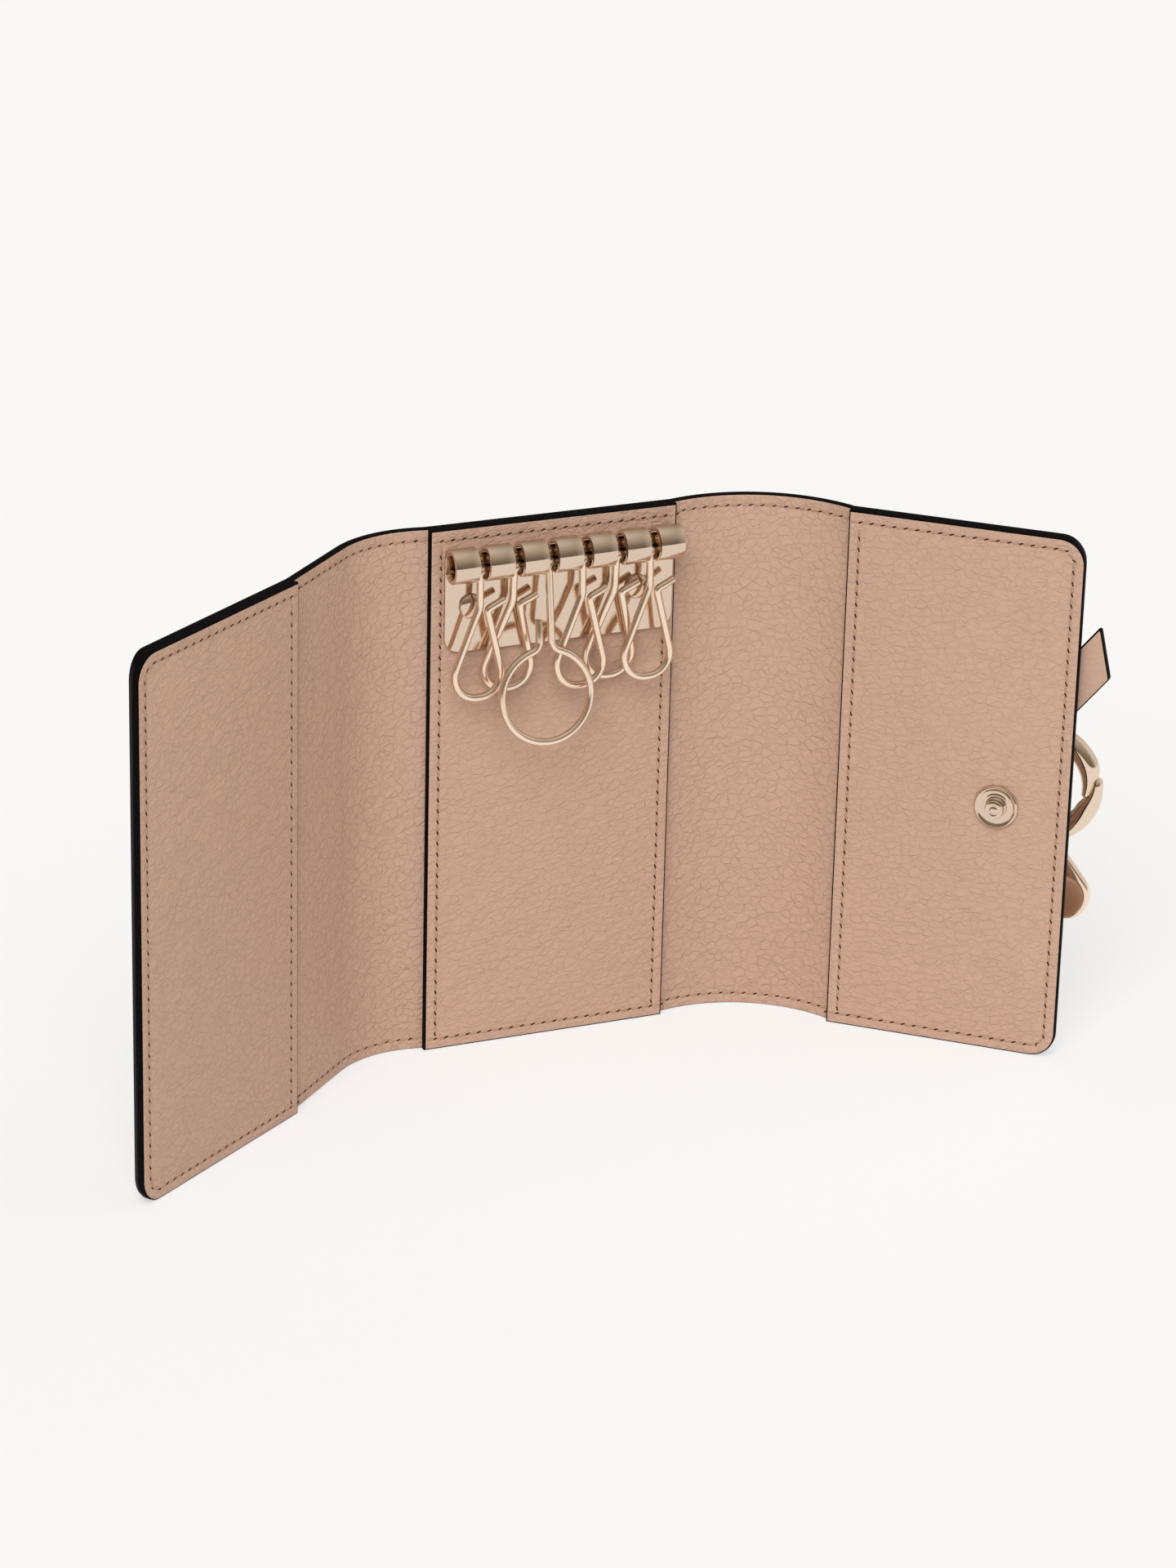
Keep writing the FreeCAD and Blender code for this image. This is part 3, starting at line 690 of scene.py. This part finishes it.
bmesh.ops.spin(bm, geom=curl_start, cent=(0, BAR_Y, BAR_Z), axis=(1, 0, 0), angle=CURL_TURN, steps=36,
               use_merge=False, use_duplicate=False)
corners = [low_verts[0], low_verts[-1]]
bmesh.ops.bevel(bm, geom=corners, offset=PLATE_CORNER, offset_type="OFFSET", segments=8, profile=0.5,
                affect="VERTICES", material=-1)
bmesh.ops.recalc_face_normals(bm, faces=bm.faces)
plate_faces = [face for face in bm.faces if face.calc_center_median().z < SLOT_LOW]
if plate_faces[0].normal.y < 0:
    bmesh.ops.reverse_faces(bm, faces=bm.faces[:])
bmesh.ops.solidify(bm, geom=bm.faces[:], thickness=SHEET)
soften(bm, sharp_edges(bm, 60), BAR_EDGE, 2)
finished("key_bar_curled", bm, [shaded_bar_gold], ["key_bar"], body="case_centre",
         place=centre_place)


def dome_profile(radius, rise, steps=8):
    """Profile of a rivet head: a low dome above a short upright rim."""
    rim = rise * 0.25
    profile = [(0.0, 0.0), (radius, 0.0), (radius, rim)]
    for step in range(1, steps + 1):
        angle = math.pi / 2 * step / steps
        profile.append((radius * math.cos(angle), rim + (rise - rim) * math.sin(angle)))
    return profile


def facing_in(x, y, z):
    """A place on a panel where a turned piece stands up towards the keys."""
    return Matrix.Translation((x, y, z)) @ Matrix.Rotation(math.pi / 2, 4, "X")


def facing_out(x, y, z):
    """A place on a panel where a turned piece stands up away from the keys."""
    return Matrix.Translation((x, y, z)) @ Matrix.Rotation(-math.pi / 2, 4, "X")


bm = bmesh.new()
for x in (BAR_LEFT + RIVET_FROM_LEFT, BAR_LEFT + BAR_LENGTH - RIVET_FROM_RIGHT):
    lathe(bm, dome_profile(RIVET, RIVET_RISE), facing_in(x, OVERLAY_FACE - SHEET, BAR_Z - RIVET_DROP))
finished("key_bar_rivet_heads", bm, [shaded_bar_gold], ["key_bar_rivets"], body="case_centre",
         place=centre_place)

# Key hooks and key ring: bent wire

WIRE = 0.72
WIRE_END = 0.18
WIRE_BEND = 0.9
LEG_DROP = 1.5
LEG_Z = BAR_Z - LEG_DROP
LEG_LENGTH = 4.0
LEG_REACH = KNUCKLE_GAP / 2 + LEG_LENGTH
HOOK_NECK = 6.6
HOOK_FOOT = 24.3
HOOK_SIDES = (-7.2, 5.2)
HOOK_RETURN = (1.4, 7.5)
HOOK_TIP = (4.9, 5.8)
HOOK_SHOULDER_BEND = 4.0
HOOK_FOOT_BEND = 4.3
FRONT_SWING = 3
BACK_SWING = -4
RING_SWING = 9
RING = 8.8
RING_DROP = 24.8
RING_SHIFT = 1.4
RING_NECK = 2.5
RING_TIP = 2.0
RING_TIP_OUT = -4.4
RING_TIP_TOP = 10.3


def hung_wire(name, number, flat_path, swing):
    """Bent wire that hangs in a gap of the bar, swung out by an angle in degrees."""
    gap = BAR_LEFT + number * KNUCKLE_PITCH - KNUCKLE_GAP / 2
    bm = bmesh.new()
    path = [Vector((gap + out, BAR_Y, LEG_Z - drop)) for out, drop in flat_path]
    sweep(bm, circle(WIRE, 14), turning(path))
    soften(bm, sharp_edges(bm, 60), WIRE_END, 2)
    pivot = Matrix.Translation((0, BAR_Y, LEG_Z))
    swung = pivot @ Matrix.Rotation(math.radians(-swing), 4, "X") @ pivot.inverted()
    finished(name + "_bent", bm, [lit_wire_gold], [name], body=name, place=centre_place @ swung)


def arc(centre_out, centre_drop, radius, start, end, steps):
    """Flat points along an arc, by out and drop."""
    angles = [start + (end - start) * step / steps for step in range(steps + 1)]
    return [Vector((centre_out + radius * math.cos(angle), centre_drop + radius * math.sin(angle)))
            for angle in angles]


hook_corners = [(LEG_REACH, 0), (0, 0), (0, HOOK_NECK), (HOOK_SIDES[0], HOOK_FOOT),
                (HOOK_SIDES[1], HOOK_FOOT), HOOK_RETURN, HOOK_TIP]
hook_bends = [0, WIRE_BEND, HOOK_SHOULDER_BEND, HOOK_FOOT_BEND, HOOK_FOOT_BEND, WIRE_BEND, 0]
hook_path = rounded(hook_corners, hook_bends, 14)
neck_angle = -math.acos((RING_NECK + RING_SHIFT) / (RING + RING_NECK))
tip_angle = -math.acos((RING_TIP_OUT + RING_SHIFT) / (RING + RING_TIP))
neck_drop = RING_DROP + (RING + RING_NECK) * math.sin(neck_angle)
tip_drop = RING_DROP + (RING + RING_TIP) * math.sin(tip_angle)
ring_path = rounded([(LEG_REACH, 0), (0, 0), (0, neck_drop)], [0, WIRE_BEND, 0], 8)[:-1]
ring_path += arc(RING_NECK, neck_drop, RING_NECK, math.pi, math.pi + neck_angle, 10)[:-1]
ring_path += arc(-RING_SHIFT, RING_DROP, RING, neck_angle, tip_angle + 2 * math.pi, 64)[:-1]
ring_path += arc(RING_TIP_OUT, tip_drop, RING_TIP, tip_angle + math.pi, 0, 10)
ring_path.append(Vector((RING_TIP_OUT + RING_TIP, RING_TIP_TOP)))
hung_wire("key_hook_1", 1, hook_path, FRONT_SWING)
hung_wire("key_hook_2", 2, hook_path, BACK_SWING)
hung_wire("key_ring", 3, ring_path, RING_SWING)
hung_wire("key_hook_3", 4, hook_path, FRONT_SWING)
hung_wire("key_hook_4", 5, hook_path, BACK_SWING)
hung_wire("key_hook_5", 6, hook_path, FRONT_SWING)

# Snap fastener

STUD_INSET = 14.0
STUD_X = FLAP_WIDTH["right"] - STUD_INSET
STUD_Z = 50.2
right_place = panel_place("right")
left_place = panel_place("left")
stud_profile = [(0.0, 0.0), (4.3, 0.0), (4.3, 0.35), (4.18, 0.62), (3.95, 0.78), (3.72, 0.74),
                (3.5, 0.56), (3.2, 0.5), (2.75, 0.52), (2.55, 0.62), (2.3, 0.66), (2.0, 0.6),
                (1.78, 0.75), (1.66, 1.0), (1.62, 1.35), (1.72, 1.55), (1.84, 1.75), (1.86, 1.95),
                (1.74, 2.15), (1.4, 2.28), (1.15, 2.3), (1.0, 2.22), (0.8, 2.2), (0.6, 2.32),
                (0.3, 2.38), (0.0, 2.4)]
bm = bmesh.new()
lathe(bm, stud_profile, facing_in(STUD_X, OVERLAY_FACE, STUD_Z), 48)
finished("snap_stud_turned", bm, [shaded_bar_gold], ["snap_stud"], body="right_flap",
         place=right_place)
socket_profile = [(0.0, 0.0), (4.5, 0.0), (4.5, 0.5), (4.42, 1.1), (4.2, 1.6), (3.8, 1.92), (3.3, 2.0),
                  (2.7, 1.96), (2.3, 1.85), (2.15, 1.7), (2.2, 1.5), (2.9, 1.35), (2.9, 0.45), (0.0, 0.4)]
SOCKET_X = STUD_X - CENTRE_WIDTH
bm = bmesh.new()
lathe(bm, socket_profile, facing_out(SOCKET_X, OUTER_FACE, STUD_Z), 48)
finished("snap_socket_turned", bm, [shaded_bar_gold], ["snap_socket"], body="left_flap",
         place=left_place)

# Ornament on the outer face of the right flap: strap, keeper loop, bypass ring, link and drop medallion

STRAP = 1.7
STRAP_FACE = OUTER_FACE + STRAP
STRAP_WIDTH = 7.95
STRAP_Z = 77.2
STRAP_START = -19.2
STRAP_BOTTOM_END = 5.25
STRAP_TOP_END = 3.0
STRAP_TURN = math.radians(52.1)
STRAP_CORNERS = [0.6, 0.5, 0.4, 0.6]
STRAP_EDGE = 0.25
CHARM_INSET = 7.7
CHARM_X = FLAP_WIDTH["right"] - CHARM_INSET
CHARM_Z = 53.0
CHARM = 10.05
CHARM_SECTION = 2.1
KEEPER = 1.0
KEEPER_PLAY = 0.7
CHARM_Y = STRAP_FACE + KEEPER + KEEPER_PLAY + CHARM_SECTION
KEEPER_Z = CHARM_Z + CHARM
KEEPER_LOOP = 3.3
KEEPER_TOP = 9.5
KEEPER_RIVET = 1.9
KEEPER_RIVET_RISE = 1.0
KEEPER_RIVET_UP = 6.8
BAND_HALF = 0.48
BAND_REACH = 3.0
BAND_ROUND = 0.22

half_rise = STRAP_WIDTH / 2 / math.cos(STRAP_TURN)
strap_outline = []
for past_edge, up in ((STRAP_START, -1), (STRAP_BOTTOM_END, -1), (STRAP_TOP_END, 1), (STRAP_START, 1)):
    strap_outline.append((FLAP_WIDTH["right"] + past_edge,
                          STRAP_Z + past_edge * math.tan(STRAP_TURN) + up * half_rise))
bm = slab(rounded(strap_outline, STRAP_CORNERS, 4), OUTER_FACE, STRAP_FACE)
soften(bm, sharp_edges(bm, 60), STRAP_EDGE)
painted(bm, 1, lambda face: abs(face.normal.y) < 0.985)
finished("ornament_strap_cut", bm, [strap_leather, edge_paint], ["ornament_strap"],
         body="right_flap", place=right_place)

keeper_path = [Vector((-KEEPER_LOOP, KEEPER_TOP)), Vector((-KEEPER_LOOP, 4.0))]
keeper_path += arc(0, 0, KEEPER_LOOP, math.pi, 2 * math.pi + math.radians(66.5), 40)
keeper_path += rounded([(1.3, 3.0), (-2.3, 4.6), (-2.3, KEEPER_TOP)], [0, 0.8, 0], 6)[1:]
keeper_frames = []
for frame_at in turning([Vector((y, 0, z)) for y, z in keeper_path]):
    keeper_frames.append(Matrix.Translation((CHARM_X, CHARM_Y, KEEPER_Z))
                         @ Matrix.Rotation(math.pi / 2, 4, "Z") @ frame_at)
band = rounded([(-BAND_HALF, -BAND_REACH), (BAND_HALF, -BAND_REACH), (BAND_HALF, BAND_REACH),
                (-BAND_HALF, BAND_REACH)], [BAND_ROUND] * 4, 3)
bm = bmesh.new()
sweep(bm, band, keeper_frames)
bmesh.ops.recalc_face_normals(bm, faces=bm.faces)
painted(bm, 1, lambda face: abs(face.normal.x) > 0.6)
finished("ornament_keeper_loop", bm, [strap_leather, edge_paint], ["ornament_keeper"],
         body="right_flap", place=right_place)

bm = bmesh.new()
lathe(bm, dome_profile(KEEPER_RIVET, KEEPER_RIVET_RISE),
      facing_out(CHARM_X, STRAP_FACE + 2 * KEEPER, KEEPER_Z + KEEPER_RIVET_UP))
finished("ornament_keeper_rivet_head", bm, [pale_gold], ["ornament_keeper_rivet"],
         body="right_flap", place=right_place)


def crescent(name, start_deg, node):
    """Half of the bypass ring: one tip tucks inside the other half, its other tip passes outside it."""
    sweep_deg = 180.0
    reach = 13.0
    taper = 42.0
    tip_taper = 5.0
    tip_shift = 1.06
    tip_width = 0.47
    tip_depth = 0.72
    least = 0.15
    frames = []
    count = 72
    for step in range(count + 1):
        turn = -reach + (sweep_deg + 2 * reach) * step / count
        ends = (turn + reach, sweep_deg + reach - turn)
        thin = [min(1.0, end / taper) for end in ends]
        full = [part * part * (3 - 2 * part) for part in thin]
        tips = [math.sqrt(min(1.0, end / tip_taper)) for end in ends]
        shift = -tip_shift * (1 - full[0]) + tip_shift * (1 - full[1])
        width = CHARM_SECTION * (tip_width + (1 - tip_width) * min(full)) * max(least, min(tips))
        depth = CHARM_SECTION * (tip_depth + (1 - tip_depth) * min(full)) * max(least, min(tips))
        angle = math.radians(start_deg + turn)
        out = Vector((math.cos(angle), 0, math.sin(angle)))
        ahead = Vector((-math.sin(angle), 0, math.cos(angle)))
        turn_to = Matrix((out, Vector((0, -1, 0)), ahead)).transposed().to_4x4()
        centre = Vector((CHARM_X, CHARM_Y, CHARM_Z)) + out * (CHARM + shift)
        frames.append(Matrix.Translation(centre) @ turn_to @ Matrix.Diagonal((width, depth, 1, 1)))
    bm = bmesh.new()
    sweep(bm, circle(1.0, 24), frames)
    finished(name, bm, [pale_gold], [node], body="ornament_ring", place=right_place)


crescent("ornament_crescent_upper", 0, "ornament_ring_upper")
crescent("ornament_crescent_lower", 180, "ornament_ring_lower")

LINK_INSET = 5.6
LINK_X = FLAP_WIDTH["right"] - LINK_INSET
LINK = 4.4
LINK_WIRE = 0.6
LINK_HANG = 0.9
LINK_LEAN = math.radians(-17.2)
LINK_PIVOT = Vector((LINK_X, CHARM_Y, CHARM_Z - math.sqrt(CHARM ** 2 - (LINK_X - CHARM_X) ** 2)))
LINK_Z = LINK_PIVOT.z - LINK_HANG
lean = (Matrix.Translation(LINK_PIVOT) @ Matrix.Rotation(LINK_LEAN, 4, "Y")
        @ Matrix.Translation(-LINK_PIVOT))
bm = bmesh.new()
link_verts = [bm.verts.new((LINK + x, 0, z)) for x, z in circle(LINK_WIRE, 16)]
link_edges = [bm.edges.new((link_verts[index - 1], link_verts[index])) for index in range(16)]
bmesh.ops.spin(bm, geom=link_verts + link_edges, cent=(0, 0, 0), axis=(0, 0, 1), angle=2 * math.pi,
               steps=56, use_merge=True, use_duplicate=False)
link_place = Matrix.Translation((LINK_X, CHARM_Y, LINK_Z)) @ Matrix.Rotation(math.pi / 2, 4, "Y")
finished("ornament_link_round", bm, [pale_gold], ["ornament_link"], body="medallion",
         place=right_place @ lean @ link_place)

DROP = 5.05
DROP_LENGTH = 14.65
DROP_HALF = 1.0
DROP_ROUND = 0.55
DISH = 4.15
BACK_DOME = 4.3
EYE = 2.5
EYE_HOLE = 1.3
EYE_PLAY = 0.2
EYE_Z = LINK_Z - LINK + LINK_WIRE + EYE_PLAY - EYE_HOLE
DROP_Z = EYE_Z + EYE - DROP_LENGTH + DROP
drop_lean = math.asin((DROP - EYE) / (EYE_Z - DROP_Z))


def drop_loop(bm, inset, y):
    """Closed loop of edges round the drop, moved in by an inset."""
    points = arc(LINK_X, EYE_Z, EYE - inset, drop_lean, math.pi - drop_lean, 14)
    points += arc(LINK_X, DROP_Z, DROP - inset, math.pi - drop_lean, 2 * math.pi + drop_lean, 40)
    return flat_loop(bm, points, y)


def flat_loop(bm, points, y):
    """Closed loop of edges through flat points."""
    verts = [bm.verts.new((x, y, z)) for x, z in points]
    return [bm.edges.new((verts[index - 1], verts[index])) for index in range(len(verts))]


def bridged(bm, loops):
    """Join loops in turn."""
    for before, after in zip(loops, loops[1:]):
        bmesh.ops.bridge_loops(bm, edges=before + after)


bm = bmesh.new()
near, far = CHARM_Y - DROP_HALF, CHARM_Y + DROP_HALF
rim = []
for step in range(5):
    angle = math.pi / 2 * step / 4
    rim.append((DROP_ROUND * (1 - math.sin(angle)), DROP_ROUND * (1 - math.cos(angle))))
outer_loops = [drop_loop(bm, inset, near + back) for inset, back in rim]
outer_loops += [drop_loop(bm, inset, far - back) for inset, back in reversed(rim)]
bridged(bm, outer_loops)
hole_points = arc(LINK_X, EYE_Z, EYE_HOLE, 0, 2 * math.pi, 24)[:-1]
hole_loops = [flat_loop(bm, hole_points, y) for y in (near, far)]
bridged(bm, hole_loops)
dish_loops = []
for share, depth in ((1.0, 0.0), (0.97, 0.12), (0.9, 0.36), (0.75, 0.72), (0.55, 1.02), (0.3, 1.2),
                     (0.1, 1.25)):
    points = arc(LINK_X, DROP_Z, DISH * share, 0, 2 * math.pi, 40)[:-1]
    dish_loops.append(flat_loop(bm, points, near + depth))
bridged(bm, dish_loops)
bmesh.ops.contextual_create(bm, geom=dish_loops[-1])
back_loops = []
for share, depth in ((1.0, 0.0), (0.9, 0.2), (0.7, 0.5), (0.4, 0.75), (0.12, 0.85)):
    points = arc(LINK_X, DROP_Z, BACK_DOME * share, 0, 2 * math.pi, 40)[:-1]
    back_loops.append(flat_loop(bm, points, far + depth))
bridged(bm, back_loops)
bmesh.ops.contextual_create(bm, geom=back_loops[-1])
bmesh.ops.triangle_fill(bm, use_beauty=True, use_dissolve=False, normal=(0, -1, 0),
                        edges=outer_loops[0] + hole_loops[0] + dish_loops[0])
bmesh.ops.triangle_fill(bm, use_beauty=True, use_dissolve=False, normal=(0, 1, 0),
                        edges=outer_loops[-1] + hole_loops[1] + back_loops[0])
finished("ornament_medallion_dished", bm, [lit_wire_gold], ["ornament_medallion"],
         body="medallion", place=right_place @ lean)

# Hidden hardware keeps its own shape and takes a finish
for name in ("key_bar_washers", "snap_stud_washer", "snap_spring", "snap_socket_eyelet"):
    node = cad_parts[name]
    if not node.material_slots:
        node.data.materials.append(plain_metal)
    for holder in node.material_slots:
        holder.material = plain_metal

# Floor, light and camera

FLOOR_GLOW = 0.568
SUN_WAY = Vector((0.36, 0.62, -0.75))
CAMERA_TURN = math.radians(22.664)
CAMERA_DIP = math.radians(22.719)
CAMERA_ROLL = math.radians(1.467)
CAMERA_PLACE = (-0.330093, -0.811157, 0.417995)

floor_material, nodes, links, main, spots = shader("pale_floor")
rays = nodes.new("ShaderNodeLightPath").outputs
seen = rays["Is Camera Ray"]
for kind in ("Is Glossy Ray", "Is Transmission Ray"):
    either = nodes.new("ShaderNodeMath")
    either.operation = "MAXIMUM"
    links.new(seen, either.inputs[0])
    links.new(rays[kind], either.inputs[1])
    seen = either.outputs["Value"]
links.new(tones(nodes, links, seen, [(0.0, (0.93, 0.93, 0.92)), (1.0, (0.4, 0.4, 0.395))]),
          main.inputs["Base Color"])
main.inputs["Roughness"].default_value = 0.9
main.inputs["Specular IOR Level"].default_value = 0.0
main.inputs["Emission Color"].default_value = (0.985, 0.99, 1.0, 1)
links.new(ranged(nodes, links, seen, 0.0, FLOOR_GLOW), main.inputs["Emission Strength"])
bm = bmesh.new()
bmesh.ops.create_grid(bm, x_segments=1, y_segments=1, size=6.0)
mesh = bpy.data.meshes.new("floor")
bm.to_mesh(mesh)
bm.free()
mesh.materials.append(floor_material)
floor = bpy.data.objects.new("floor", mesh)
bpy.context.scene.collection.objects.link(floor)

world = bpy.data.worlds.new("studio")
bpy.context.scene.world = world
world.use_nodes = True
nodes, links = world.node_tree.nodes, world.node_tree.links
split = nodes.new("ShaderNodeSeparateXYZ")
links.new(nodes.new("ShaderNodeTexCoord").outputs["Generated"], split.inputs["Vector"])
sky = tones(nodes, links, split.outputs["Z"], [(0.0, (0.16, 0.13, 0.1)), (0.4, (0.27, 0.235, 0.19)),
                                               (0.85, (0.52, 0.48, 0.42)), (1.0, (0.7, 0.66, 0.6))])
bright_side = nodes.new("ShaderNodeVectorMath")
links.new(sky, bright_side.inputs[0])
links.new(ranged(nodes, links, split.outputs["X"], 0.0, 0.5, 0.5, 0.9), bright_side.inputs[1])
links.new(bright_side.outputs["Vector"], nodes["Background"].inputs["Color"])
nodes["Background"].inputs["Strength"].default_value = 1.0

sun_data = bpy.data.lights.new("soft_sun", "SUN")
sun_data.energy = 2.12
sun_data.angle = math.radians(40)
sun = bpy.data.objects.new("soft_sun", sun_data)
sun.visible_glossy = False
sun.rotation_euler = SUN_WAY.to_track_quat("-Z", "Y").to_euler()
bpy.context.scene.collection.objects.link(sun)

camera_data = bpy.data.cameras.new("photo_camera")
camera_data.sensor_width = 36.0
camera_data.sensor_fit = "AUTO"
camera_data.lens = 115.655
camera_data.clip_start = 0.01
camera = bpy.data.objects.new("photo_camera", camera_data)
ahead = Vector((math.sin(CAMERA_TURN) * math.cos(CAMERA_DIP), math.cos(CAMERA_TURN) * math.cos(CAMERA_DIP),
                -math.sin(CAMERA_DIP)))
level = Vector((math.cos(CAMERA_TURN), -math.sin(CAMERA_TURN), 0))
upright = level.cross(ahead)
right = level * math.cos(CAMERA_ROLL) + upright * math.sin(CAMERA_ROLL)
up = upright * math.cos(CAMERA_ROLL) - level * math.sin(CAMERA_ROLL)
turn = Matrix((right, up, -ahead)).transposed().to_4x4()
camera.matrix_world = Matrix.Translation(CAMERA_PLACE) @ turn
bpy.context.scene.collection.objects.link(camera)
bpy.context.scene.camera = camera
bpy.context.scene.view_settings.view_transform = "Standard"
